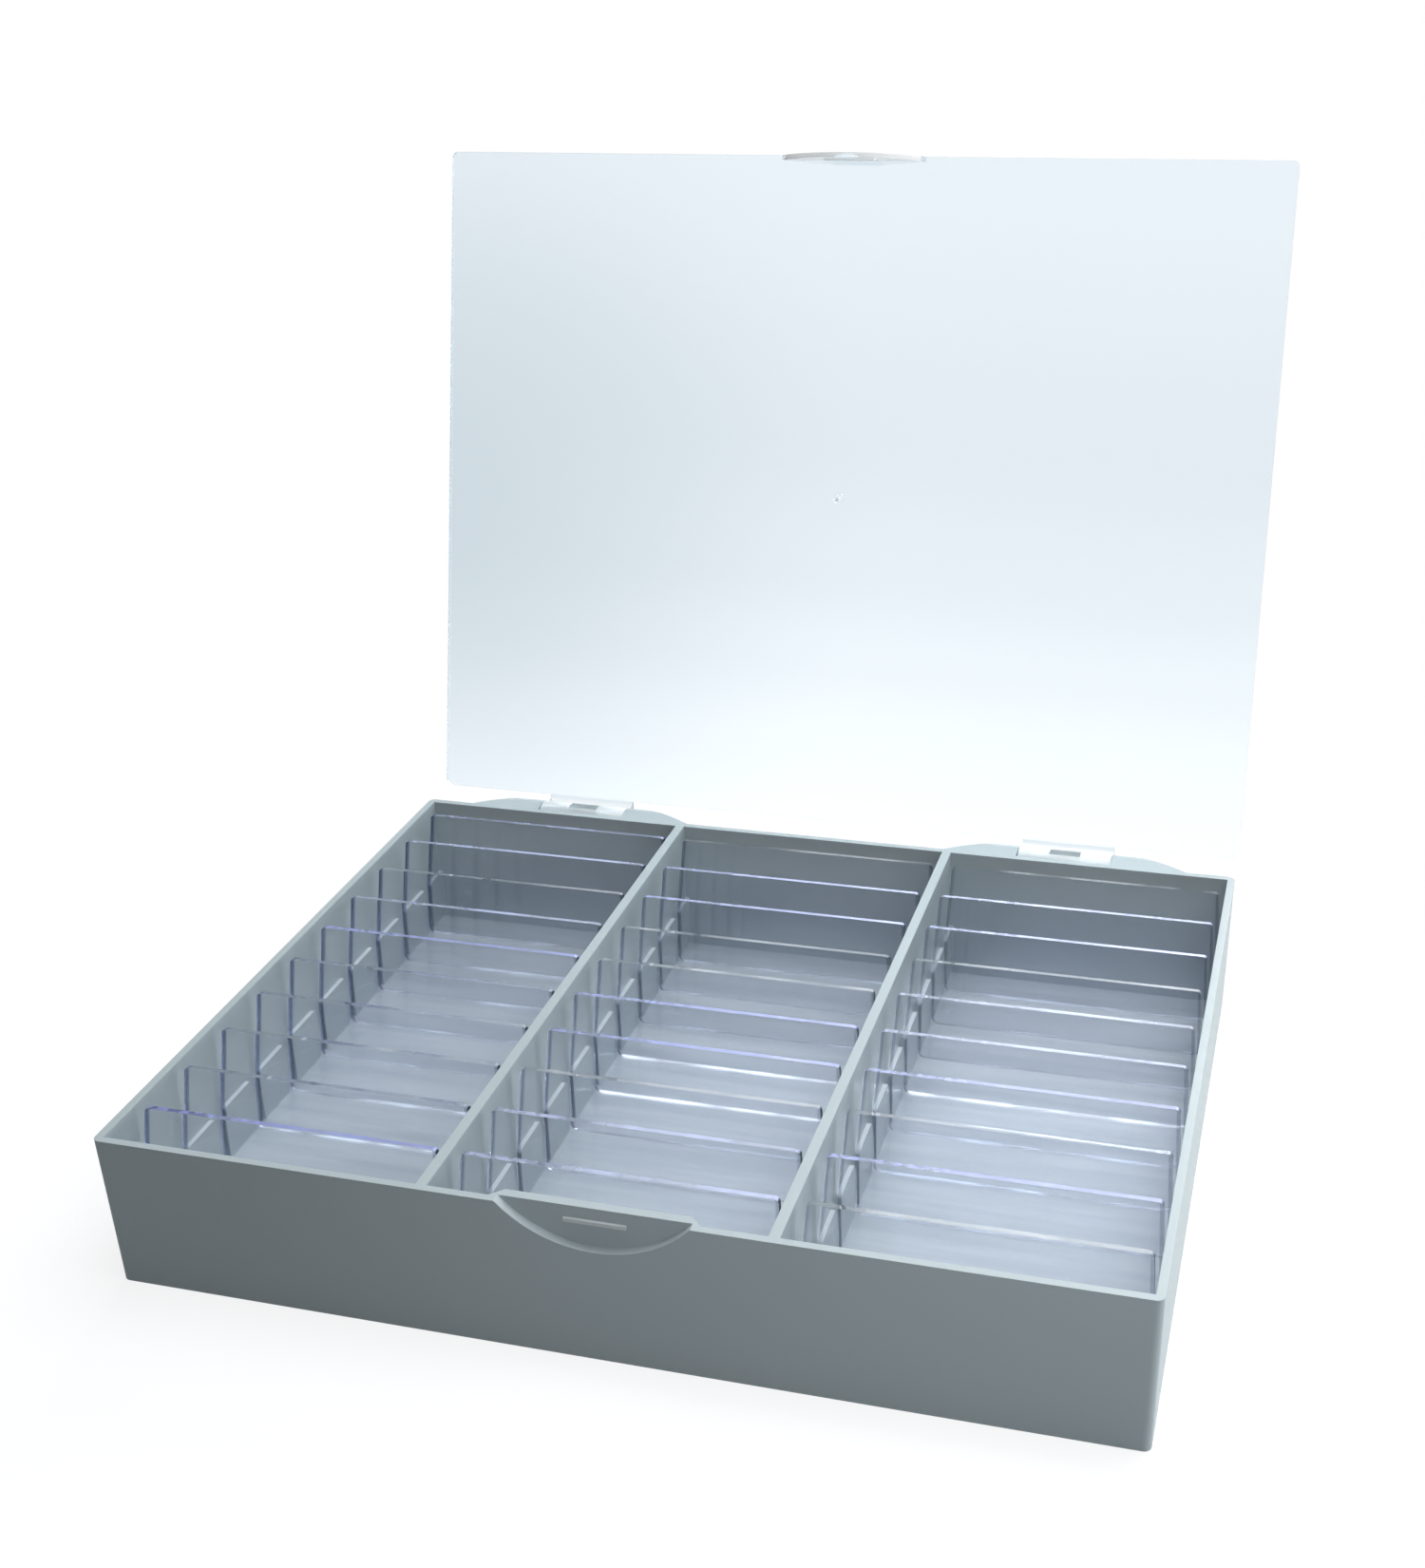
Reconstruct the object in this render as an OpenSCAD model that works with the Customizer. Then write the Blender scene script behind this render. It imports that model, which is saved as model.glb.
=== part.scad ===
// Bobbin box: a shallow tray of three columns with thirty clear dividers that lift out,
// and a clear lid that clips onto two hinge pins along the back.
// Millimetres. The origin is the centre of the tray's underside: X runs across the
// columns, +Y to the hinge and +Z up. The lid is drawn open on its stop.

/* [Tray] */
// Width over the side walls, at the rim
tray_w = 275; // [250:1:300]
// Depth over the front and back walls, at the rim
tray_d = 215; // [205:1:235]
// Height of the rim above the underside
tray_h = 45; // [42:0.5:55]
// Thickness of the outer walls, at the rim
wall_t = 2.2; // [1.8:0.1:2.8]
// Thickness of the floor
floor_t = 2; // [1.6:0.1:2.6]
// Thickness of the two partitions, at the rim
partition_t = 2.8; // [2.2:0.1:3.6]
// Radius of the upright outer corners
corner_r = 2; // [1:0.5:4]
// Draft of the outside of the walls, in degrees
outer_draft = 1.1; // [0.5:0.1:1.5]
// Draft of the inside of the columns, in degrees
inner_draft = 0.4; // [0.2:0.1:0.6]

/* [Divider slots] */
// Clear depth between an end wall and the middle of the nearest slot
end_cell = 12; // [10:0.5:14]
// Height of the slot pads above the floor
pad_h = 17; // [12:0.5:20]
// How far the slot pads stand out from the wall
pad_t = 1.2; // [1:0.1:1.6]
// Radius of the lead-in at the top of each slot
lead_in_r = 1.6; // [1:0.1:2]
// Play on each side of a divider in its slot
slot_play = 0.25; // [0.15:0.05:0.35]

/* [Dividers] */
// Thickness of a divider
divider_t = 2; // [1.6:0.1:2.4]
// Angle at which a divider leans back in its slot
lean = 9.5; // [6:0.5:11]
// Gap between a divider's top edge and the closed lid
divider_top_gap = 1.4; // [1:0.1:3]
// Gap between a divider's ends and the column walls
divider_end_play = 0.35; // [0.2:0.05:0.5]
// How far each end narrows from the pads up to the top edge
divider_taper = 1.3; // [0.5:0.1:2]
// How far each end narrows from the pads down to the foot
divider_foot = 0.8; // [0.4:0.1:0.8]
// Corner radius of a divider
divider_r = 2.5; // [1:0.5:4]

/* [Lid] */
// Thickness of the lid
lid_t = 2; // [1.5:0.1:2.5]
// Gap under the closed lid
lid_gap = 0.15; // [0.1:0.05:0.3]
// Angle at which the open lid rests on its stop
lid_open = 104.3; // [95:0.1:110]

/* [Hinge] */
// Distance of each hinge from the middle of the box
hinge_x = 83; // [70:1:90]
// Distance of the hinge axis behind the back wall
hinge_back = 6.5; // [6.3:0.1:7.5]
// Depth of the hinge axis below the rim
hinge_drop = 5.4; // [5.3:0.1:7]
// Radius of the barrels round the hinge axis
barrel_r = 5.2; // [4.6:0.1:5.2]
// Radius of the hinge pins
pin_r = 2.2; // [1.8:0.1:2.4]
// Running clearance between pin and knuckle
pin_play = 0.08; // [0.05:0.01:0.1]
// Length of a lid knuckle along its pin
knuckle_w = 30; // [24:1:34]
// Gap at each end of a knuckle
knuckle_end_play = 0.2; // [0.15:0.05:0.4]
// Distance from the middle of a hinge to the outer end of its arms, at the wall
arm_reach = 39.6; // [34:0.1:42]
// Radius of the curved outline of the arms, seen from above
arm_r = 60; // [40:1:80]

/* [Latch] */
// Width of the finger recess at the rim
recess_w = 50.4; // [40:0.2:60]
// Depth of the finger recess below the rim
recess_h = 11.3; // [9:0.1:13]
// Setback of the finger recess into the front wall
recess_t = 2.7; // [2.6:0.1:3.4]
// Thickness of the wall behind the finger recess
recess_back_t = 2.7; // [2:0.1:3]
// Gap between the latch tab and the edge of the recess
tab_gap = 1.5; // [1:0.1:2.5]
// Thickness of the latch tab
tab_t = 1.5; // [1.2:0.1:1.6]
// Width of the catch bar in the recess
catch_w = 16.4; // [10:0.2:24]
// Height of the catch bar
catch_h = 1.1; // [0.8:0.1:1.5]
// Depth of the catch bar's middle below the rim
catch_drop = 4; // [3:0.1:4.5]
// How far the catch bar stands out from the recess
catch_out = 0.8; // [0.6:0.1:1]
// How far the tab's bead reaches behind the catch bar
snap = 0.3; // [0.2:0.05:0.4]

/* [Hidden] */
COLUMN_NAMES = ["left", "middle", "right"];
ROWS = 10;

overlap = 0.5;      // how deep fused pieces of one moulding run into each other
cut_past = 1;       // how far a cut runs past the face it opens
rest_gap = 0.05;    // air under a divider that stands on the floor
snap_gap = 0.15;    // air between the closed tab's bead and the catch bar

column_w = (tray_w - 2 * wall_t - 2 * partition_t) / 3;
inner_d = tray_d - 2 * wall_t;
column_h = tray_h - floor_t;
column_inset = column_h * tan(inner_draft);
slot_pitch = (inner_d - 2 * end_cell) / (ROWS - 1);
slot_w = divider_t / cos(lean) + pad_h * tan(lean) + 2 * slot_play;
divider_z = rest_gap + divider_t * sin(lean);
divider_h = (column_h - divider_top_gap - divider_z) / cos(lean);
hinge_y = tray_d / 2 + hinge_back;
hinge_z = tray_h - hinge_drop;
lid_z = tray_h + lid_gap;
recess_r = (pow(recess_w / 2, 2) + pow(recess_h, 2)) / (2 * recess_h);
recess_z = tray_h - recess_h + recess_r;
recess_y = -tray_d / 2 + recess_t;

function divider_name(c, r) = str("divider_", COLUMN_NAMES[c], "_", r);
function column_x(c) = (c - 1) * (column_w + partition_t);
function slot_y(r) = (r - (ROWS + 1) / 2) * slot_pitch;

// Points of an arc, from angle a to angle b
function arc(x, y, r, a, b, steps = 6) =
    [for (i = [0 : steps]) let (t = a + (b - a) * i / steps) [x + r * cos(t), y + r * sin(t)]];

// A box that widens upwards by its draft: w by d at its top, with its floor at z = 0
module drafted_box(w, d, h, draft) {
    inset = h * tan(draft);
    intersection() {
        rotate([90, 0, 0])
            linear_extrude(d, center = true)
                polygon([[inset - w / 2, 0], [w / 2 - inset, 0], [w / 2, h], [-w / 2, h]]);
        rotate([90, 0, 90])
            linear_extrude(w, center = true)
                polygon([[inset - d / 2, 0], [d / 2 - inset, 0], [d / 2, h], [-d / 2, h]]);
    }
}

module rounded_rectangle(w, d, r) {
    polygon(concat(
        arc(w / 2 - r, d / 2 - r, r, 0, 90),
        arc(r - w / 2, d / 2 - r, r, 90, 180),
        arc(r - w / 2, r - d / 2, r, 180, 270),
        arc(w / 2 - r, r - d / 2, r, 270, 360)));
}

// Outside of the tray, drafted on all four sides
module tray_block() {
    inset = tray_h * tan(outer_draft);
    w = tray_w - 2 * inset;
    d = tray_d - 2 * inset;
    linear_extrude(tray_h, scale = [tray_w / w, tray_d / d], slices = 1)
        rounded_rectangle(w, d, corner_r);
}

// Air inside one column, up past the rim
module column_space(c) {
    grow = 2 * cut_past * tan(inner_draft);
    translate([column_x(c), 0, floor_t])
        drafted_box(column_w + grow, inner_d + grow, column_h + cut_past, inner_draft);
}

// The front wall steps in behind the finger recess, down to the floor, with splayed ends
module recess_backing() {
    root = wall_t - tray_d / 2;
    step = recess_t + recess_back_t - wall_t;
    w = recess_w / 2 + wall_t;
    translate([0, 0, floor_t - overlap])
        linear_extrude(column_h + overlap)
            polygon([
                [-w - overlap, root - overlap],
                [w + overlap, root - overlap],
                [w - step, root + step],
                [step - w, root + step]]);
}

module finger_recess() {
    translate([0, recess_y, recess_z])
        rotate([90, 0, 0])
            cylinder(h = recess_t + cut_past, r = recess_r, $fn = 128);
}

module catch_bar() {
    translate([-catch_w / 2, recess_y - catch_out, tray_h - catch_drop - catch_h / 2])
        cube([catch_w, catch_out + overlap, catch_h]);
}

// Side view of the pad between two slots, or between a slot and an end wall.
// The top corners are rounded where a slot follows
module pad_outline(from, to, round_from, round_to) {
    top = pad_h;
    r = lead_in_r;
    polygon(concat(
        [[to, -overlap]],
        round_to ? arc(to - r, top - r, r, 0, 90, 4) : [[to, top]],
        round_from ? arc(from + r, top - r, r, 90, 180, 4) : [[from, top]],
        [[from, -overlap]]));
}

// All pads along one wall of a column; they stand out towards +X
module pad_row() {
    end = inner_d / 2 + overlap;
    translate([-overlap, 0, floor_t])
        rotate([90, 0, 90])
            linear_extrude(pad_t + overlap)
                for (r = [0 : ROWS])
                    pad_outline(
                        r == 0 ? -end : slot_y(r) + slot_w / 2,
                        r == ROWS ? end : slot_y(r + 1) - slot_w / 2,
                        r > 0, r < ROWS);
}

module column_pads(c) {
    wall = column_w / 2 - column_inset;
    for (side = [0, 1])
        translate([column_x(c), 0, 0])
            mirror([side, 0, 0])
                translate([-wall, 0, 0])
                    pad_row();
}

// Side view of an arm: a barrel round the hinge axis on a sloping gusset
module arm_profile() {
    root = tray_d / 2 - wall_t / 2;
    s = barrel_r * sin(45);
    drop = hinge_y - root + 2 * s;
    translate([hinge_y, hinge_z])
        circle(r = barrel_r, $fn = 64);
    polygon([
        [root, hinge_z + barrel_r],
        [hinge_y, hinge_z + barrel_r],
        [hinge_y + s, hinge_z - s],
        [root, hinge_z + s - drop]]);
}

// One arm, towards +X: seen from above, its far side curves in to meet the wall
module hinge_arm(gap) {
    depth = hinge_back + barrel_r;
    curve_x = arm_reach - sqrt(pow(arm_r, 2) - pow(arm_r - depth, 2));
    intersection() {
        translate([gap / 2, 0, 0])
            rotate([90, 0, 90])
                linear_extrude(arm_reach)
                    arm_profile();
        translate([curve_x, tray_d / 2 + depth - arm_r, 0])
            cylinder(h = tray_h, r = arm_r, $fn = 180);
    }
}

// Two arms with the pin between them
module hinge_mount(x) {
    gap = knuckle_w + 2 * knuckle_end_play;
    translate([x, 0, 0]) {
        for (side = [0, 1])
            mirror([side, 0, 0])
                hinge_arm(gap);
        translate([-gap / 2 - overlap, hinge_y, hinge_z])
            rotate([0, 90, 0])
                cylinder(h = gap + 2 * overlap, r = pin_r, $fn = 48);
    }
}

module tray() {
    color([0.60, 0.64, 0.66]) {
        difference() {
            union() {
                difference() {
                    tray_block();
                    for (c = [0 : 2])
                        column_space(c);
                }
                recess_backing();
            }
            finger_recess();
        }
        for (c = [0 : 2])
            column_pads(c);
        catch_bar();
        for (side = [-1, 1])
            hinge_mount(side * hinge_x);
    }
}

// Latch tab under the front edge, with a bead that snaps below the catch bar
module latch_tab() {
    face = -tray_d / 2 + tab_t;
    bead_out = recess_y - catch_out + snap;
    bead_r = bead_out - face;
    intersection() {
        translate([0, face, recess_z])
            rotate([90, 0, 0])
                cylinder(h = tab_t, r = recess_r - tab_gap, $fn = 128);
        translate([-recess_w / 2, -tray_d / 2, tray_h - recess_h])
            cube([recess_w, tab_t, recess_h + lid_gap + lid_t / 2]);
    }
    translate([-catch_w / 2, face, tray_h - catch_drop - catch_h / 2 - snap_gap - bead_r])
        rotate([0, 90, 0])
            cylinder(h = catch_w, r = bead_r, $fn = 24);
}

// One slice of a knuckle: a ring round the pin, open on one side so that it clips on
module knuckle_ring(x, w, mouth) {
    translate([x, 0, 0])
        rotate([90, 0, 90])
            linear_extrude(w)
                difference() {
                    union() {
                        circle(r = barrel_r, $fn = 64);
                        tongue_profile();
                    }
                    circle(r = pin_r + pin_play, $fn = 48);
                    rotate(mouth)
                        translate([0, -0.85 * pin_r])
                            square([2 * barrel_r, 1.7 * pin_r]);
                }
}

// Side view of the tongue that joins the lid's back edge to a ring round the axis
module tongue_profile() {
    low = hinge_drop + lid_gap;
    polygon([
        [-hinge_back - 1, low],
        [-hinge_back - 1, low + lid_t],
        [-1, low + lid_t],
        [barrel_r * cos(40), barrel_r * sin(40)],
        [0, barrel_r * 0.7],
        [-barrel_r * 0.7, barrel_r * 0.6],
        [1.3 - hinge_back, low]]);
}

// Two hooks that clip down over the pin when the lid stands open, and a third between
// them that reaches under it
module knuckle(x) {
    third = knuckle_w / 3;
    translate([x, hinge_y, hinge_z]) {
        knuckle_ring(-knuckle_w / 2, third, 270 + lid_open);
        knuckle_ring(-third / 2, third, 90 + lid_open);
        knuckle_ring(third / 2, third, 270 + lid_open);
    }
}

module gate_mark() {
    translate([0, 0, lid_z + lid_t - overlap])
        cylinder(h = overlap + 0.3, r = 1.6, $fn = 32);
}

module closed_lid() {
    translate([0, 0, lid_z])
        linear_extrude(lid_t)
            rounded_rectangle(tray_w, tray_d, corner_r);
    latch_tab();
    gate_mark();
    for (side = [-1, 1])
        knuckle(side * hinge_x);
}

module lid() {
    color([0.86, 0.91, 0.94, 0.4])
        translate([0, hinge_y, hinge_z])
            rotate([-lid_open, 0, 0])
                translate([0, -hinge_y, -hinge_z])
                    closed_lid();
}

// Front view of a divider: widest at the top of the pads, narrowing up and down from there
module divider_outline() {
    wide = column_w / 2 - column_inset - divider_end_play;
    foot = wide - divider_foot;
    high = wide - divider_taper;
    shoulder = (pad_h + divider_r) / cos(lean);
    r = divider_r;
    polygon(concat(
        arc(foot - r, r, r, -90, 0),
        [[wide, shoulder]],
        arc(high - r / 2, divider_h - r / 2, r / 2, 0, 90),
        arc(r / 2 - high, divider_h - r / 2, r / 2, 90, 180),
        [[-wide, shoulder]],
        arc(r - foot, r, r, 180, 270)));
}

module divider(c, r) {
    color([0.80, 0.86, 0.93, 0.45])
        translate([column_x(c), slot_y(r) + slot_play - slot_w / 2, floor_t + divider_z])
            rotate([-lean, 0, 0])
                translate([0, divider_t, 0])
                    rotate([90, 0, 0])
                        linear_extrude(divider_t)
                            divider_outline();
}

tray();
lid();
for (c = [0 : 2], r = [1 : ROWS])
    divider(c, r);
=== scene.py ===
import math
import bpy
from mathutils import Matrix, Vector


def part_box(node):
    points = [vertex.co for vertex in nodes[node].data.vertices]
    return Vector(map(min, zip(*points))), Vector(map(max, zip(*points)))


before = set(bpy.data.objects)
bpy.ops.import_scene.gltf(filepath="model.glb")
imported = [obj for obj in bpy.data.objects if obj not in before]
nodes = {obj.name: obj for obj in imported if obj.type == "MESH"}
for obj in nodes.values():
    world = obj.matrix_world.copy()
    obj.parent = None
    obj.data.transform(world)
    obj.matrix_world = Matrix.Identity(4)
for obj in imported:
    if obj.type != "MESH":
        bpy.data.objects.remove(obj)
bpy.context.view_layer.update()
scene = bpy.context.scene
mm = 0.001
plainWhite = (1, 1, 1, 1)


def srgb(hexColour):
    # sRGB hex to the linear values that the shaders take
    parts = [int(hexColour[i:i + 2], 16) / 255 for i in (1, 3, 5)]
    linear = [c / 12.92 if c <= 0.04045 else ((c + 0.055) / 1.055) ** 2.4 for c in parts]
    return (*linear, 1.0)


def addNode(tree, kind, settings=None, inputs=None):
    # adds one node: settings are its properties, inputs are values or sockets to link from
    node = tree.nodes.new(kind)
    for name, value in (settings or {}).items():
        setattr(node, name, value)
    for key, value in (inputs or {}).items():
        if isinstance(value, bpy.types.NodeSocket):
            tree.links.new(value, node.inputs[key])
        else:
            node.inputs[key].default_value = value
    return node


def newMaterial(name):
    material = bpy.data.materials.new(name)
    material.use_nodes = True
    material.node_tree.nodes.clear()
    return material, material.node_tree


# Camera: its place in millimetres, its angles in degrees
camera = {
    "eye": (159.8, -490.0, 345.4),
    "yaw": -16.510,         # turned to the left of +Y
    "pitch": 25.406,        # looking down
    "roll": -1.762,
    "focal": 47.56,         # mm
    "sensor": 36.0,         # mm, along the long side of the frame
    "shift": (-0.0315, 0.0225),
    "clip": (0.02, 50.0),   # metres
}


def makeCamera():
    yaw, pitch, roll = (math.radians(camera[k]) for k in ("yaw", "pitch", "roll"))
    ahead = Vector((math.sin(yaw) * math.cos(pitch), math.cos(yaw) * math.cos(pitch), -math.sin(pitch)))
    right = Vector((math.cos(yaw), -math.sin(yaw), 0))
    up = right.cross(ahead)
    sideways = math.cos(roll) * right + math.sin(roll) * up
    upright = math.cos(roll) * up - math.sin(roll) * right
    data = bpy.data.cameras.new("camera")
    data.lens = camera["focal"]
    data.sensor_width = camera["sensor"]
    data.shift_x, data.shift_y = camera["shift"]
    data.clip_start, data.clip_end = camera["clip"]
    eye = bpy.data.objects.new("camera", data)
    turn = Matrix((sideways, upright, -ahead)).transposed().to_4x4()
    eye.matrix_world = Matrix.Translation(Vector(camera["eye"]) * mm) @ turn
    scene.collection.objects.link(eye)
    scene.camera = eye


makeCamera()
print("camera set")

# Studio: white floor and background, a softbox overhead and one behind, and three small lamps
studio = {
    "floorSize": 12.0,      # metres
    "floorDrop": 0.02,      # mm, keeps the floor clear of the underside of the box
    "floorColour": "#828587",
    "floorRoughness": 0.9,
    "floorGlow": 0.80,      # lifts the lit floor to white where it is looked at
    "shadowCentre": (-0.02, -0.20, 0),
    "shadowReach": (0.30, 0.48),    # metres over which the floor fades to plain white
    "ambient": "#e6edf3",
    "ambientStrength": 0.08,
    "mirrored": [           # brightness of the room in a gloss, by the sine of the elevation
        (0.03, 4.6), (0.075, 4.1), (0.12, 3.1), (0.16, 2.3),
        (0.22, 1.8), (0.35, 2.5), (0.50, 1.2), (0.80, 0.4)],
    "mirroredColour": "#fff7ef",
    "sweep": (-0.42, -0.06, 0.15, 3.5),     # the room brightens to the right: from X, to X, gain at each
    "sweepBehind": (0, 0.3),    # Y of the direction over which the sweep sets in, so only behind the box
    "flag": (-0.42, -0.89, 0.165),  # direction of the black flag that a gloss shows on the left
    "flagReach": 0.24,
    "flagDepth": 0.95,      # share of the brightness that it takes at its middle
    "lamps": {              # place, aim, size in metres, power in watts, colour, spread in degrees
        "softboxTop": ((0.26, 0.10, 1.05), (0, 0, 0.02), (1.0, 1.0), 12.2, "#ffffff", 180),
        "softboxBack": ((0.06, 1.10, 0.80), (0.05, 0, 0.02), (1.0, 0.6), 6.5, "#ffffff", 180),
        "gridRight": ((0.20, 0.02, 0.60), (0.13, 0.0, 0), (0.12, 0.12), 0.065, "#ffffff", 40),
        "fillFront": ((0.14, -0.30, 0.13), (0.06, -0.10, 0.03), (0.16, 0.10), 0.14, "#f9fbfc", 180),
        "stripRight": ((0.75, 0.0, 0.047), (0.14, 0, 0.03), (0.5, 0.05), 2.3, "#f9fbfc", 180),
    },
    "unmirrored": ["fillFront", "gridRight"],   # lamps that no gloss shows
    "bounces": 24,          # enough for light to pass a whole column of dividers
    "straightBounces": 64,  # the same for rays that go straight through, such as shadow rays
}


def whereSeen(tree, kinds):
    # 1 on the kinds of ray named, 0 on the others, which light the box
    path = addNode(tree, "ShaderNodeLightPath")
    seen = path.outputs[kinds[0]]
    for kind in kinds[1:]:
        seen = addNode(tree, "ShaderNodeMath", {"operation": "MAXIMUM"},
                       {0: seen, 1: path.outputs[kind]}).outputs[0]
    return seen


def makeWorld():
    world = bpy.data.worlds.new("studioWorld")
    world.use_nodes = True
    scene.world = world
    tree = world.node_tree
    tree.nodes.clear()
    place = addNode(tree, "ShaderNodeTexCoord")
    way = addNode(tree, "ShaderNodeSeparateXYZ", None, {0: place.outputs["Generated"]})
    height = addNode(tree, "ShaderNodeValToRGB", None, {0: way.outputs["Z"]})
    most = max(strength for _, strength in studio["mirrored"])
    ramp = height.color_ramp
    ramp.interpolation = "EASE"
    while len(ramp.elements) < len(studio["mirrored"]):
        ramp.elements.new(1.0)
    for stop, (sine, strength) in zip(ramp.elements, studio["mirrored"]):
        stop.position = sine
        stop.color = (*[strength / most] * 3, 1)
    off = addNode(tree, "ShaderNodeVectorMath", {"operation": "DISTANCE"}, {
        0: place.outputs["Generated"], 1: studio["flag"]})
    flag = addNode(tree, "ShaderNodeMapRange", {"interpolation_type": "SMOOTHSTEP"}, {
        0: off.outputs["Value"], 1: 0, 2: studio["flagReach"],
        3: (1 - studio["flagDepth"]) * most, 4: most})
    left, right, dim, bright = studio["sweep"]
    sweep = addNode(tree, "ShaderNodeMapRange", {"interpolation_type": "SMOOTHSTEP"}, {
        0: way.outputs["X"], 1: left, 2: right, 3: dim, 4: bright})
    start, full = studio["sweepBehind"]
    behind = addNode(tree, "ShaderNodeMapRange", None, {0: way.outputs["Y"], 1: start, 2: full})
    gain = addNode(tree, "ShaderNodeMix", {"data_type": "FLOAT"}, {
        0: behind.outputs[0], 2: 1.0, 3: sweep.outputs[0]})
    swept = addNode(tree, "ShaderNodeMath", {"operation": "MULTIPLY"}, {
        0: height.outputs["Color"], 1: gain.outputs[0]})
    band = addNode(tree, "ShaderNodeMath", {"operation": "MULTIPLY"}, {
        0: swept.outputs[0], 1: flag.outputs[0]})
    ambient = addNode(tree, "ShaderNodeBackground", None, {
        "Color": srgb(studio["ambient"]), "Strength": studio["ambientStrength"]})
    mirrored = addNode(tree, "ShaderNodeBackground", None, {
        "Color": srgb(studio["mirroredColour"]), "Strength": band.outputs[0]})
    white = addNode(tree, "ShaderNodeBackground", None, {"Color": plainWhite, "Strength": 1.0})
    around = addNode(tree, "ShaderNodeMixShader", None, {
        0: whereSeen(tree, ["Is Glossy Ray", "Is Transmission Ray"]),
        1: ambient.outputs[0], 2: mirrored.outputs[0]})
    path = addNode(tree, "ShaderNodeLightPath")
    straight = addNode(tree, "ShaderNodeMath", {"operation": "LESS_THAN"}, {
        0: path.outputs["Glossy Depth"], 1: 0.5})   # no gloss on the way: 0 and not 1 or more
    looked = addNode(tree, "ShaderNodeMath", {"operation": "MULTIPLY"}, {
        0: whereSeen(tree, ["Is Camera Ray", "Is Transmission Ray"]), 1: straight.outputs[0]})
    mix = addNode(tree, "ShaderNodeMixShader", None, {
        0: looked.outputs[0], 1: around.outputs[0], 2: white.outputs[0]})
    addNode(tree, "ShaderNodeOutputWorld", None, {"Surface": mix.outputs[0]})


def makeFloor():
    half = studio["floorSize"] / 2
    mesh = bpy.data.meshes.new("floor")
    corners = [(-half, -half, 0), (half, -half, 0), (half, half, 0), (-half, half, 0)]
    mesh.from_pydata(corners, [], [(0, 1, 2, 3)])
    floor = bpy.data.objects.new("floor", mesh)
    floor.location.z = -studio["floorDrop"] * mm
    scene.collection.objects.link(floor)
    material, tree = newMaterial("studioFloor")
    seen = whereSeen(tree, ["Is Camera Ray", "Is Transmission Ray", "Is Glossy Ray"])
    glow = addNode(tree, "ShaderNodeMath", {"operation": "MULTIPLY"}, {0: seen, 1: studio["floorGlow"]})
    paint = addNode(tree, "ShaderNodeBsdfPrincipled", None, {
        "Base Color": srgb(studio["floorColour"]), "Roughness": studio["floorRoughness"],
        "Specular IOR Level": 0.0, "Emission Color": plainWhite, "Emission Strength": glow.outputs[0]})
    place = addNode(tree, "ShaderNodeTexCoord")
    away = addNode(tree, "ShaderNodeVectorMath", {"operation": "DISTANCE"}, {
        0: place.outputs["Object"], 1: studio["shadowCentre"]})
    near, far = studio["shadowReach"]
    fade = addNode(tree, "ShaderNodeMapRange", {"interpolation_type": "SMOOTHSTEP"}, {
        0: away.outputs["Value"], 1: near, 2: far})
    share = addNode(tree, "ShaderNodeMath", {"operation": "MULTIPLY"}, {0: seen, 1: fade.outputs[0]})
    white = addNode(tree, "ShaderNodeEmission", None, {"Color": plainWhite, "Strength": 1.0})
    mix = addNode(tree, "ShaderNodeMixShader", None, {
        0: share.outputs[0], 1: paint.outputs[0], 2: white.outputs[0]})
    addNode(tree, "ShaderNodeOutputMaterial", None, {"Surface": mix.outputs[0]})
    mesh.materials.append(material)


def makeLamps():
    for name, (place, aim, size, power, colour, spread) in studio["lamps"].items():
        data = bpy.data.lights.new(name, "AREA")
        data.shape = "RECTANGLE"
        data.size, data.size_y = size
        data.energy = power
        data.color = srgb(colour)[:3]
        data.spread = math.radians(spread)
        lamp = bpy.data.objects.new(name, data)
        lamp.location = place
        lamp.rotation_mode = "QUATERNION"
        lamp.rotation_quaternion = (Vector(aim) - Vector(place)).to_track_quat("-Z", "Y")
        lamp.visible_camera = False
        lamp.visible_glossy = lamp.visible_transmission = name not in studio["unmirrored"]
        scene.collection.objects.link(lamp)


makeWorld()
makeFloor()
makeLamps()
scene.view_settings.view_transform = "Standard"
scene.cycles.max_bounces = scene.cycles.transmission_bounces = studio["bounces"]
scene.cycles.transparent_max_bounces = studio["straightBounces"]
print("studio set")

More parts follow.
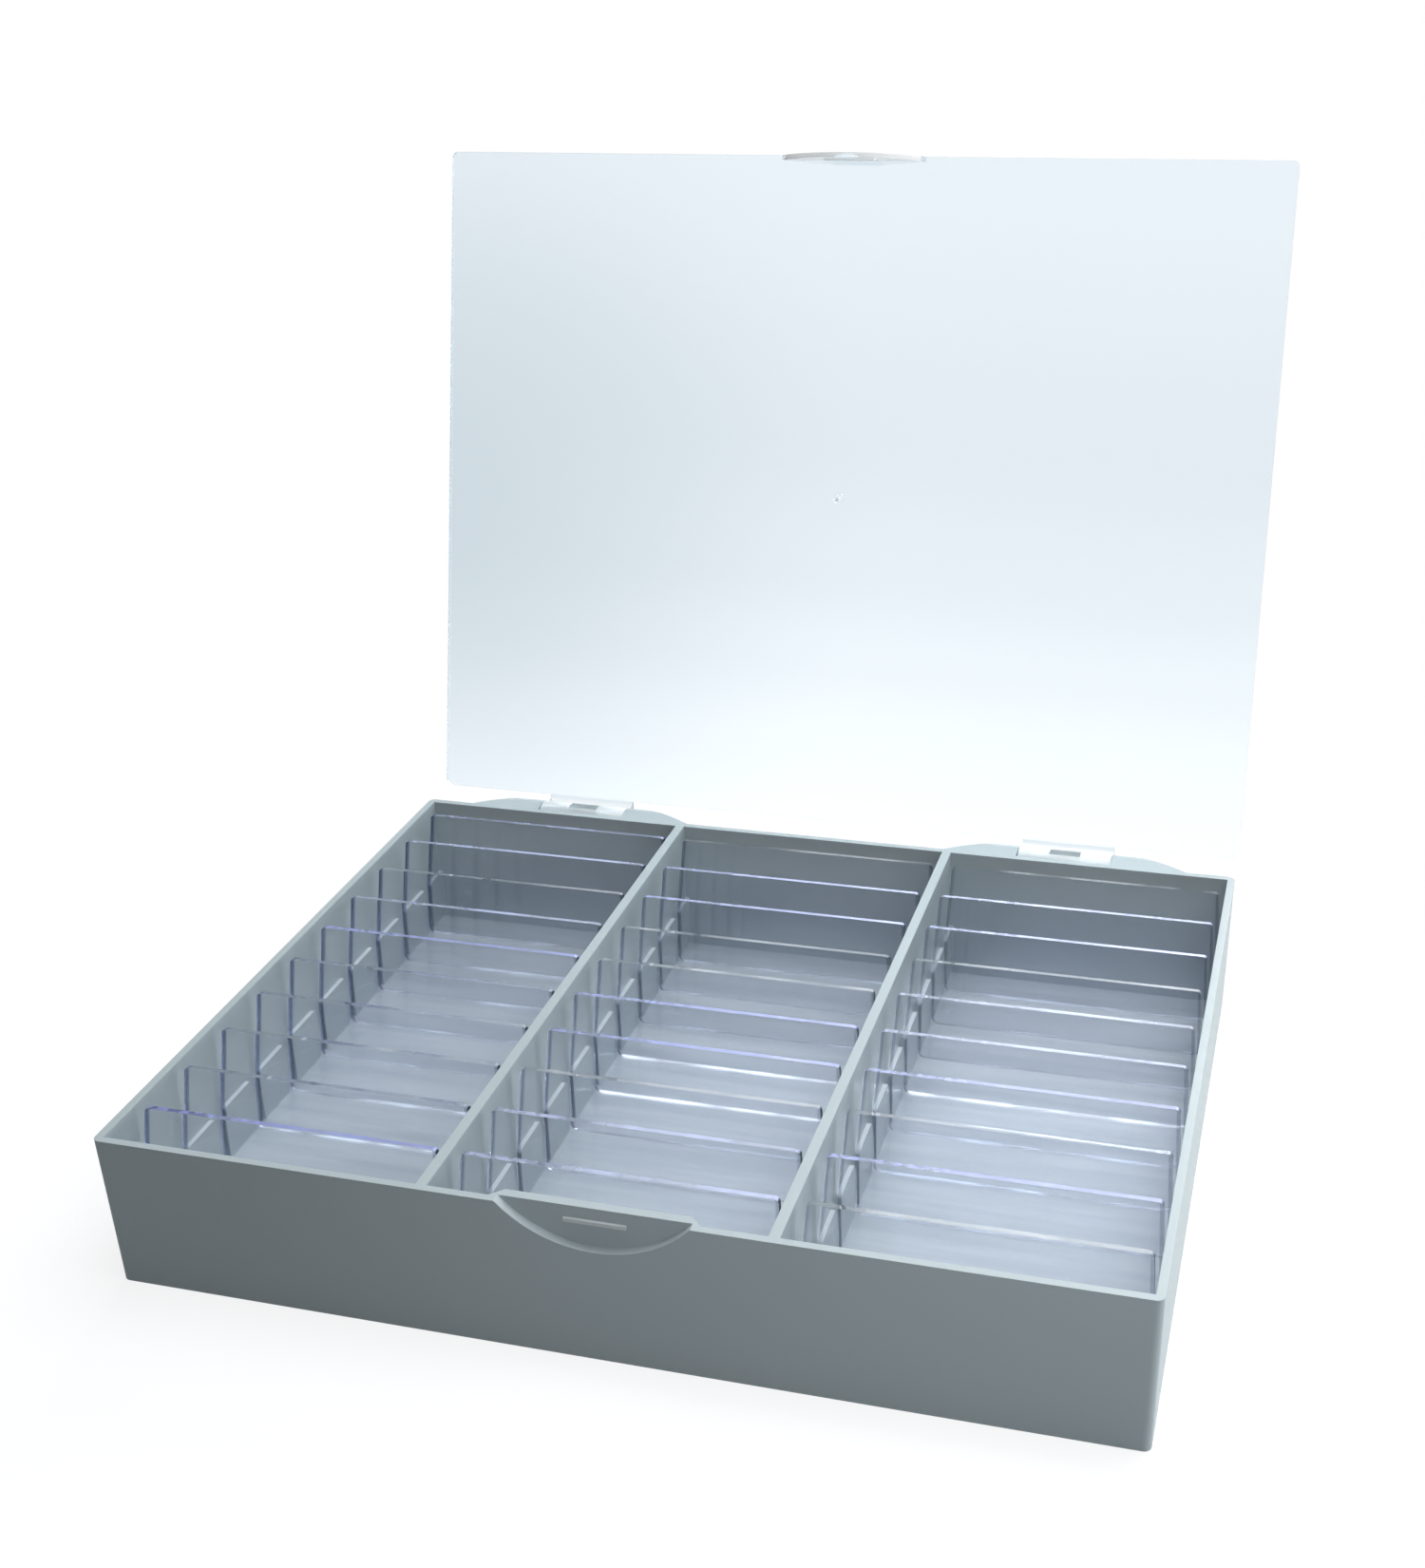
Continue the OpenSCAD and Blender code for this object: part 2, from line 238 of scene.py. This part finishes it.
# Tray: high-impact polystyrene, injection moulded, opaque grey with a soft even sheen
trayFinish = {
    "colour": "#a6b2b7",
    "colourDeep": "#a0adb2",
    "mottle": 60.0,         # mm, slow drift of the tint across the moulding
    "spark": 0.9,           # mm, spark-eroded grain, drawn coarse: the real 0.1 mm would not show
    "grainDepth": 0.02,     # mm
    "grainStrength": 0.12,
    "roughness": 0.56,      # spark-eroded outside and rim
    "roughnessInside": 0.22,    # the core of the mould is polished
    "roughnessSpread": 0.06,
    "inside": (135.4, 104.6, 44.5),     # mm, half width, half depth and height of the polished space
    "floorTop": 2.6,        # mm, height of the inner floor
    "flow": (70.0, 5.0, 5.0),   # mm, size of the flow lines on the floor along X, Y and Z
    "flowContrast": (0.35, 0.65),   # noise levels that give the pale and the deep colour
    # painted light: both floor colours are lighter than the tray, standing in for the light that the clear
    # dividers bend down onto the inner floor; their contrast draws the flow lines
    "flowPaleWithPaintedLight": "#bfc7ca",
    "flowDeepWithPaintedLight": "#afb8bc",
    "catchBarHighlight": ((0, -106.5, 41.0), (9.2, 1.6, 0.9)),     # mm, space round the catch bar that gets a painted highlight: middle, half size
    "catchBarHighlightColour": "#c8d0d3",
    "padTopHighlightColour": "#c4cdd0",   # painted highlight on the up-facing faces inside, such as the tops of the slot pads, where the light from above falls
    "ledgeSlope": (0.3, 0.6),   # Z of the normal over which a face starts to count as a top
    "ior": 1.59,
    "edge": 0.35,           # mm, radius on the moulded edges
}


def withinBox(tree, place, middle, half):
    # 1 inside a box given in millimetres, 0 outside it
    off = addNode(tree, "ShaderNodeVectorMath", {"operation": "SUBTRACT"}, {
        0: place.outputs["Object"], 1: [v * mm for v in middle]})
    size = addNode(tree, "ShaderNodeVectorMath", {"operation": "ABSOLUTE"}, {0: off.outputs[0]})
    at = addNode(tree, "ShaderNodeSeparateXYZ", None, {0: size.outputs[0]})
    within = [
        addNode(tree, "ShaderNodeMath", {"operation": "LESS_THAN"}, {
            0: at.outputs[axis], 1: limit * mm}).outputs[0]
        for axis, limit in zip("XYZ", half)]
    both = addNode(tree, "ShaderNodeMath", {"operation": "MULTIPLY"}, {0: within[0], 1: within[1]})
    return addNode(tree, "ShaderNodeMath", {"operation": "MULTIPLY"}, {
        0: both.outputs[0], 1: within[2]}).outputs[0]


def highImpactPolystyrene(f):
    # moulded plastic: diffuse body colour under a satin surface that mirrors bright things softly, with
    # painted light on the inner floor, the pad tops and round the catch bar
    material, tree = newMaterial("polystyreneGreyWithPaintedLight")
    place = addNode(tree, "ShaderNodeTexCoord")
    drift = addNode(tree, "ShaderNodeTexNoise", None, {
        "Vector": place.outputs["Object"], "Scale": 1 / (f["mottle"] * mm), "Detail": 2.0})
    tint = addNode(tree, "ShaderNodeMix", {"data_type": "RGBA"}, {
        0: drift.outputs["Fac"], 6: srgb(f["colour"]), 7: srgb(f["colourDeep"])})
    grain = addNode(tree, "ShaderNodeTexNoise", None, {
        "Vector": place.outputs["Object"], "Scale": 1 / (f["spark"] * mm), "Detail": 3.0})
    width, depth, height = f["inside"]
    inside = withinBox(tree, place, (0, 0, 0), (width, depth, height))
    bottom = withinBox(tree, place, (0, 0, 0), (width, depth, f["floorTop"]))
    catchBarHighlight = withinBox(tree, place, *f["catchBarHighlight"])
    facing = addNode(tree, "ShaderNodeSeparateXYZ", None, {0: place.outputs["Normal"]})
    start, full = f["ledgeSlope"]
    upward = addNode(tree, "ShaderNodeMapRange", None, {0: facing.outputs["Z"], 1: start, 2: full})
    ledge = addNode(tree, "ShaderNodeMath", {"operation": "MULTIPLY"}, {0: upward.outputs[0], 1: inside})
    finish = addNode(tree, "ShaderNodeMapRange", None, {
        0: inside, 3: f["roughness"], 4: f["roughnessInside"]})
    outsideGrain = addNode(tree, "ShaderNodeMix", {"data_type": "FLOAT"}, {
        0: inside, 2: grain.outputs["Fac"], 3: 0.0})
    polish = addNode(tree, "ShaderNodeMath", {"operation": "MULTIPLY_ADD"}, {
        0: outsideGrain.outputs[0], 1: f["roughnessSpread"], 2: finish.outputs[0]})
    along = addNode(tree, "ShaderNodeVectorMath", {"operation": "DIVIDE"}, {
        0: place.outputs["Object"], 1: [v * mm for v in f["flow"]]})
    streak = addNode(tree, "ShaderNodeTexNoise", None, {
        "Vector": along.outputs[0], "Scale": 1.0, "Detail": 1.0})
    pale, deep = f["flowContrast"]
    flow = addNode(tree, "ShaderNodeMapRange", None, {0: streak.outputs["Fac"], 1: pale, 2: deep})
    # painted light on the inner floor, streaked by the flow lines
    flowLinesOnPaintedLitFloor = addNode(tree, "ShaderNodeMix", {"data_type": "RGBA"}, {
        0: flow.outputs[0], 6: srgb(f["flowPaleWithPaintedLight"]), 7: srgb(f["flowDeepWithPaintedLight"])})
    # painted highlight on the up-facing faces inside
    padded = addNode(tree, "ShaderNodeMix", {"data_type": "RGBA"}, {
        0: ledge.outputs[0], 6: tint.outputs[2], 7: srgb(f["padTopHighlightColour"])})
    floored = addNode(tree, "ShaderNodeMix", {"data_type": "RGBA"}, {
        0: bottom, 6: padded.outputs[2], 7: flowLinesOnPaintedLitFloor.outputs[2]})
    # painted highlight round the catch bar
    colour = addNode(tree, "ShaderNodeMix", {"data_type": "RGBA"}, {
        0: catchBarHighlight, 6: floored.outputs[2], 7: srgb(f["catchBarHighlightColour"])})
    relief = addNode(tree, "ShaderNodeBump", None, {
        "Height": outsideGrain.outputs[0], "Strength": f["grainStrength"],
        "Distance": f["grainDepth"] * mm})
    body = addNode(tree, "ShaderNodeBsdfPrincipled", None, {
        "Base Color": colour.outputs[2], "Roughness": polish.outputs[0], "IOR": f["ior"],
        "Normal": relief.outputs[0]})
    addNode(tree, "ShaderNodeOutputMaterial", None, {"Surface": body.outputs[0]})
    return material


rounding = {
    "weld": 0.002,          # mm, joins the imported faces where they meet
    "leastAngle": 35.0,     # degrees, a flatter edge is left as it is
    "segments": 2,
}


def roundEdges(piece, radius):
    # a moulded edge is never sharp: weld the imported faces, then round every real edge
    weld = piece.modifiers.new("weld", "WELD")
    weld.merge_threshold = rounding["weld"] * mm
    bevel = piece.modifiers.new("edge", "BEVEL")
    bevel.width = radius * mm
    bevel.segments = rounding["segments"]
    bevel.limit_method = "ANGLE"
    bevel.angle_limit = math.radians(rounding["leastAngle"])


def dress(piece, material):
    piece.data.materials.clear()
    piece.data.materials.append(material)


dress(nodes["tray"], highImpactPolystyrene(trayFinish))
roundEdges(nodes["tray"], trayFinish["edge"])
print("tray dressed")

# Lid and dividers: general-purpose polystyrene, clear as glass, with painted light and shade at the edges,
# ends and knuckles
lidFinish = {
    "tint": "#d7e3eb",
    "shadow": "#eef4f7",    # what each face leaves of the light
    "ior": 1.59,
    "roughness": 0.02,
    "edge": 0.25,           # mm, radius on the moulded edges
    "ripple": 90.0,         # mm, waves left in the face by the flow of the plastic
    "rippleDepth": 0.3,     # mm
    "rippleStrength": 0.05,
    "axis": (0, 114.0, 39.6),   # mm, a point on the hinge axis
    "thin": (7.5, 9.0),     # mm from the axis over which the tint sets in, as the plastic gets thicker
    "arm": (5.6, 6.6),      # mm from the axis over which the satin of the knuckles fades out
    # painted shade: the grey of the knuckles stands in for the darker surroundings that the clear plastic
    # bends into view
    "armPaintedShadeColour": "#cfd8dc",
    "armShare": 0.7,
    "sidePaintedShadeColour": "#9fb0ba",    # painted shade: the narrow sides are made grey-blue, standing in for the dark that the clear edges bend into view
    "sideShare": 0.5,
    "sideSlope": (0.3, 0.7),    # X of the normal over which a face starts to count as a side
    "tab": ((0, 168.6, 253.0), (40.0, 4.2, 3.5)),   # mm, space round the latch tab: middle, half size
    "tabColour": "#ffffff",
    "tabShare": 0.75,
    "satinRoughness": 0.3,
    "gate": [               # scar of the gate: place in mm, radii in mm over which it fades, colour, share
        ((0.5, 149.8, 148.8), (0.3, 1.1), "#ffffff", 0.9),
        ((-0.6, 149.6, 147.7), (0.2, 0.9), "#9ca6a9", 0.8)],
}
dividerFinish = {
    "tint": "#f3f4f7",
    "shadow": "#fafafc",
    "ior": 1.59,
    "roughness": 0.03,
    "edge": 0.3,
    "ripple": 45.0,
    "rippleDepth": 0.3,
    "rippleStrength": 0.05,
    "lean": 9.5,            # degrees
    "taper": 1.3,           # mm that each end draws in from the shoulder to the top
    "footTaper": 0.8,       # mm from the shoulder to the foot
    "shoulder": 0.47,       # share of the height
    "deep": "#7a86a9",      # painted shade in a narrow band at each end, standing in for the dark that the end faces reflect inside the plastic
    "paintedEndShadeBand": (0.1, 0.25, 0.9, 1.1),  # mm from the end: starts, is full, starts to fade, is gone
    "paintedEndShadeSide": (-135.0, 60.0, 0.35),   # mm along X over which the band weakens, and what is left of it
    "edgeRoughness": 0.22,
    "edgeGloss": 0.2,
    "edgeSlope": (0.45, 0.75),  # share of the normal along the height over which a face counts as an edge
    "edgePatch": 22.0,      # mm, length over which an edge changes between bright and clear
    "patchContrast": (0.4, 0.6),    # noise levels that give the least and the most satin
    "edgeSpeckle": 2.5,     # mm, spacing of the breaks in the top's satin near the left end
    "speckleContrast": (0.44, 0.56, 0.5),   # noise levels of a break and of whole satin, what a break leaves
    "speckleEnd": (0.15, 0.45),     # share of the width over which the breaks die out
    "topHalf": (0.5, 0.6),  # share of the height over which the top's satin sets in
    "footBand": (0.005, 0.013),     # share of the height over which the foot's satin fades out
    "sorts": {              # tint of the satin edges, the least and most of it, share that is see-through; the sorts are painted lit and shaded looks of one plastic, and the white foot of bright is a painted highlight
        "blue": {"top": ("#8c97cc", 0.6, 1.0, 0.7), "foot": ("#dfe5f2", 0.0, 0.2, 0.4)},
        "pale": {"top": ("#b3bde4", 0.3, 0.7, 0.75), "foot": ("#e6ebf6", 0.1, 0.4, 0.4)},
        "bright": {"top": ("#eef1f8", 0.0, 0.25, 0.82), "foot": ("#ffffff", 0.35, 0.85, 0.0)},
        "clear": {"top": ("#eef1f8", 0.0, 0.25, 0.82), "foot": ("#e6ebf6", 0.1, 0.4, 0.5)},
        "dark": {"top": ("#6f7c98", 0.15, 0.7, 0.85), "foot": ("#f4f7fb", 0.0, 0.5, 0.3)},
    },
    "rows": {               # front to back: the painted edge look that each divider gets
        "left": "blue dark dark dark dark blue pale clear pale pale",
        "middle": "pale pale clear blue blue bright bright blue blue clear",
        "right": "clear blue clear blue pale pale bright blue blue clear",
    },
}


def paintedEndShade(tree, place, width, f):
    # 1 in a narrow band beside each end of a divider, which draws in above and below its shoulder; this is
    # where the end shade is painted
    at = addNode(tree, "ShaderNodeSeparateXYZ", None, {0: place.outputs["Generated"]})
    above = addNode(tree, "ShaderNodeMapRange", None, {
        0: at.outputs["Z"], 1: f["shoulder"], 2: 1.0, 4: f["taper"]})
    below = addNode(tree, "ShaderNodeMapRange", None, {
        0: at.outputs["Z"], 1: f["shoulder"], 2: 0.0, 4: f["footTaper"]})
    middle = addNode(tree, "ShaderNodeMath", {"operation": "SUBTRACT"}, {0: at.outputs["X"], 1: 0.5})
    aside = addNode(tree, "ShaderNodeMath", {"operation": "ABSOLUTE"}, {0: middle.outputs[0]})
    inward = addNode(tree, "ShaderNodeMath", {"operation": "MULTIPLY_ADD"}, {
        0: aside.outputs[0], 1: -width, 2: width / 2})
    drawn = addNode(tree, "ShaderNodeMath", {"operation": "ADD"}, {0: above.outputs[0], 1: below.outputs[0]})
    depth = addNode(tree, "ShaderNodeMath", {"operation": "SUBTRACT"}, {
        0: inward.outputs[0], 1: drawn.outputs[0]})
    start, full, fade, end = f["paintedEndShadeBand"]
    rise = addNode(tree, "ShaderNodeMapRange", None, {0: depth.outputs[0], 1: start, 2: full})
    fall = addNode(tree, "ShaderNodeMapRange", None, {0: depth.outputs[0], 1: end, 2: fade})
    band = addNode(tree, "ShaderNodeMath", {"operation": "MULTIPLY"}, {
        0: rise.outputs[0], 1: fall.outputs[0]})
    across = addNode(tree, "ShaderNodeSeparateXYZ", None, {0: place.outputs["Object"]})
    left, right, least = f["paintedEndShadeSide"]
    side = addNode(tree, "ShaderNodeMapRange", None, {
        0: across.outputs["X"], 1: left * mm, 2: right * mm, 3: 1.0, 4: least})
    return addNode(tree, "ShaderNodeMath", {"operation": "MULTIPLY"}, {
        0: band.outputs[0], 1: side.outputs[0]}).outputs[0]


def satinEdgesWithPaintedLight(tree, place, body, sort, f):
    # the top and the foot are a little matt from the mould; their colour, set per divider, is painted light
    # and shade standing in for the bright and dark that the clear edges bend into view
    lean = math.radians(f["lean"])
    up = addNode(tree, "ShaderNodeVectorMath", {"operation": "DOT_PRODUCT"}, {
        0: place.outputs["Normal"], 1: (0, math.sin(lean), math.cos(lean))})
    level = addNode(tree, "ShaderNodeMath", {"operation": "ABSOLUTE"}, {0: up.outputs["Value"]})
    start, full = f["edgeSlope"]
    facing = addNode(tree, "ShaderNodeMapRange", None, {0: level.outputs[0], 1: start, 2: full})
    at = addNode(tree, "ShaderNodeSeparateXYZ", None, {0: place.outputs["Generated"]})
    patch = addNode(tree, "ShaderNodeTexNoise", None, {
        "Vector": place.outputs["Object"], "Scale": 1 / (f["edgePatch"] * mm), "Detail": 2.0})
    speckle = addNode(tree, "ShaderNodeTexNoise", None, {
        "Vector": place.outputs["Object"], "Scale": 1 / (f["edgeSpeckle"] * mm), "Detail": 1.0})
    broken, solid, left = f["speckleContrast"]
    dots = addNode(tree, "ShaderNodeMapRange", None, {
        0: speckle.outputs["Fac"], 1: broken, 2: solid, 3: left})
    start, full = f["speckleEnd"]
    whole = addNode(tree, "ShaderNodeMapRange", None, {0: at.outputs["X"], 1: start, 2: full})
    unbroken = addNode(tree, "ShaderNodeMath", {"operation": "MAXIMUM"}, {
        0: dots.outputs[0], 1: whole.outputs[0]})
    clear = addNode(tree, "ShaderNodeBsdfTransparent", None, {"Color": plainWhite})
    start, full = f["topHalf"]
    upper = addNode(tree, "ShaderNodeMapRange", None, {0: at.outputs["Z"], 1: start, 2: full})
    top = addNode(tree, "ShaderNodeMath", {"operation": "MULTIPLY"}, {
        0: upper.outputs[0], 1: facing.outputs[0]})
    full, gone = f["footBand"]
    foot = addNode(tree, "ShaderNodeMapRange", None, {0: at.outputs["Z"], 1: gone, 2: full})
    low, high = f["patchContrast"]
    for name, here in (("top", top), ("foot", foot)):
        tint, least, most, seeThrough = f["sorts"][sort][name]
        faint = addNode(tree, "ShaderNodeMath", {"operation": "MULTIPLY"}, {
            0: here.outputs[0], 1: seeThrough})
        body = addNode(tree, "ShaderNodeMixShader", None, {
            0: faint.outputs[0], 1: body.outputs[0], 2: clear.outputs[0]})
        amount = addNode(tree, "ShaderNodeMapRange", None, {
            0: patch.outputs["Fac"], 1: low, 2: high, 3: least, 4: most})
        share = addNode(tree, "ShaderNodeMath", {"operation": "MULTIPLY"}, {
            0: here.outputs[0], 1: amount.outputs[0]})
        if name == "top":
            share = addNode(tree, "ShaderNodeMath", {"operation": "MULTIPLY"}, {
                0: share.outputs[0], 1: unbroken.outputs[0]})
        satin = addNode(tree, "ShaderNodeBsdfPrincipled", None, {
            "Base Color": srgb(tint), "Roughness": f["edgeRoughness"], "IOR": f["ior"],
            "Specular IOR Level": f["edgeGloss"]})
        if name == "foot":      # the foot also passes on the light that falls on its far side
            milky = addNode(tree, "ShaderNodeBsdfTranslucent", None, {"Color": srgb(tint)})
            satin = addNode(tree, "ShaderNodeAddShader", None, {0: satin.outputs[0], 1: milky.outputs[0]})
        body = addNode(tree, "ShaderNodeMixShader", None, {
            0: share.outputs[0], 1: body.outputs[0], 2: satin.outputs[0]})
    return body


def lidZones(tree, place, body, f):
    # the thin plastic by the hinge is colourless; the knuckles, tab, gate and narrow sides are partly satin,
    # and the grey on the knuckles and narrow sides is painted shade
    line = addNode(tree, "ShaderNodeVectorMath", {"operation": "MULTIPLY"}, {
        0: place.outputs["Object"], 1: (0, 1, 1)})
    away = addNode(tree, "ShaderNodeVectorMath", {"operation": "DISTANCE"}, {
        0: line.outputs[0], 1: [v * mm for v in f["axis"]]})
    near, far = (v * mm for v in f["thin"])
    depth = addNode(tree, "ShaderNodeMapRange", None, {0: away.outputs["Value"], 1: near, 2: far})
    colour = addNode(tree, "ShaderNodeMix", {"data_type": "RGBA"}, {
        0: depth.outputs[0], 6: plainWhite, 7: srgb(f["tint"])})
    tree.links.new(colour.outputs[2], body.inputs["Base Color"])
    near, far = (v * mm for v in f["arm"])
    arm = addNode(tree, "ShaderNodeMapRange", None, {
        0: away.outputs["Value"], 1: far, 2: near, 4: f["armShare"]})
    across = addNode(tree, "ShaderNodeSeparateXYZ", None, {0: place.outputs["Normal"]})
    sideways = addNode(tree, "ShaderNodeMath", {"operation": "ABSOLUTE"}, {0: across.outputs["X"]})
    start, full = f["sideSlope"]
    side = addNode(tree, "ShaderNodeMapRange", None, {
        0: sideways.outputs[0], 1: start, 2: full, 4: f["sideShare"]})
    tab = addNode(tree, "ShaderNodeMath", {"operation": "MULTIPLY"}, {
        0: withinBox(tree, place, *f["tab"]), 1: f["tabShare"]})
    zones = [(side, f["sidePaintedShadeColour"]), (arm, f["armPaintedShadeColour"]), (tab, f["tabColour"])]
    for middle, (near, far), tint, share in f["gate"]:
        off = addNode(tree, "ShaderNodeVectorMath", {"operation": "DISTANCE"}, {
            0: place.outputs["Object"], 1: [v * mm for v in middle]})
        spot = addNode(tree, "ShaderNodeMapRange", None, {
            0: off.outputs["Value"], 1: far * mm, 2: near * mm, 4: share})
        zones.append((spot, tint))
    for share, tint in zones:
        satin = addNode(tree, "ShaderNodeBsdfPrincipled", None, {
            "Base Color": srgb(tint), "Roughness": f["satinRoughness"], "IOR": f["ior"]})
        body = addNode(tree, "ShaderNodeMixShader", None, {
            0: share.outputs[0], 1: body.outputs[0], 2: satin.outputs[0]})
    return body


def clearPolystyrene(name, f, sort=None, width=0.0):
    # crystal plastic: light goes straight through the faces and bends at the edges, where painted light and
    # shade are mixed into the colour
    material, tree = newMaterial(name)
    place = addNode(tree, "ShaderNodeTexCoord")
    flow = addNode(tree, "ShaderNodeTexNoise", None, {
        "Vector": place.outputs["Object"], "Scale": 1 / (f["ripple"] * mm), "Detail": 1.0})
    relief = addNode(tree, "ShaderNodeBump", None, {
        "Height": flow.outputs["Fac"], "Strength": f["rippleStrength"], "Distance": f["rippleDepth"] * mm})
    body = addNode(tree, "ShaderNodeBsdfPrincipled", None, {
        "Base Color": srgb(f["tint"]), "Roughness": f["roughness"], "IOR": f["ior"],
        "Transmission Weight": 1.0, "Normal": relief.outputs[0]})
    if sort:
        # painted shade in the band at each end
        colour = addNode(tree, "ShaderNodeMix", {"data_type": "RGBA"}, {
            0: paintedEndShade(tree, place, width, f), 6: srgb(f["tint"]), 7: srgb(f["deep"])})
        tree.links.new(colour.outputs[2], body.inputs["Base Color"])
        body = satinEdgesWithPaintedLight(tree, place, body, sort, f)
    else:
        body = lidZones(tree, place, body, f)
    path = addNode(tree, "ShaderNodeLightPath")
    through = addNode(tree, "ShaderNodeBsdfTransparent", None, {"Color": srgb(f["shadow"])})
    mix = addNode(tree, "ShaderNodeMixShader", None, {
        0: path.outputs["Is Shadow Ray"], 1: body.outputs[0], 2: through.outputs[0]})
    addNode(tree, "ShaderNodeOutputMaterial", None, {"Surface": mix.outputs[0]})
    return material


dress(nodes["lid"], clearPolystyrene("crystalPolystyreneWithPaintedLightLid", lidFinish))
roundEdges(nodes["lid"], lidFinish["edge"])
low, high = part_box("divider_left_1")
dividerWidth = (high[0] - low[0]) / mm
dividerPlastics = {
    sort: clearPolystyrene("crystalPolystyreneWithPaintedLight" + sort.title(), dividerFinish, sort, dividerWidth)
    for sort in dividerFinish["sorts"]}
for column, sorts in dividerFinish["rows"].items():
    for row, sort in enumerate(sorts.split(), 1):
        piece = nodes[f"divider_{column}_{row}"]
        dress(piece, dividerPlastics[sort])
        roundEdges(piece, dividerFinish["edge"])
print("clear pieces dressed")
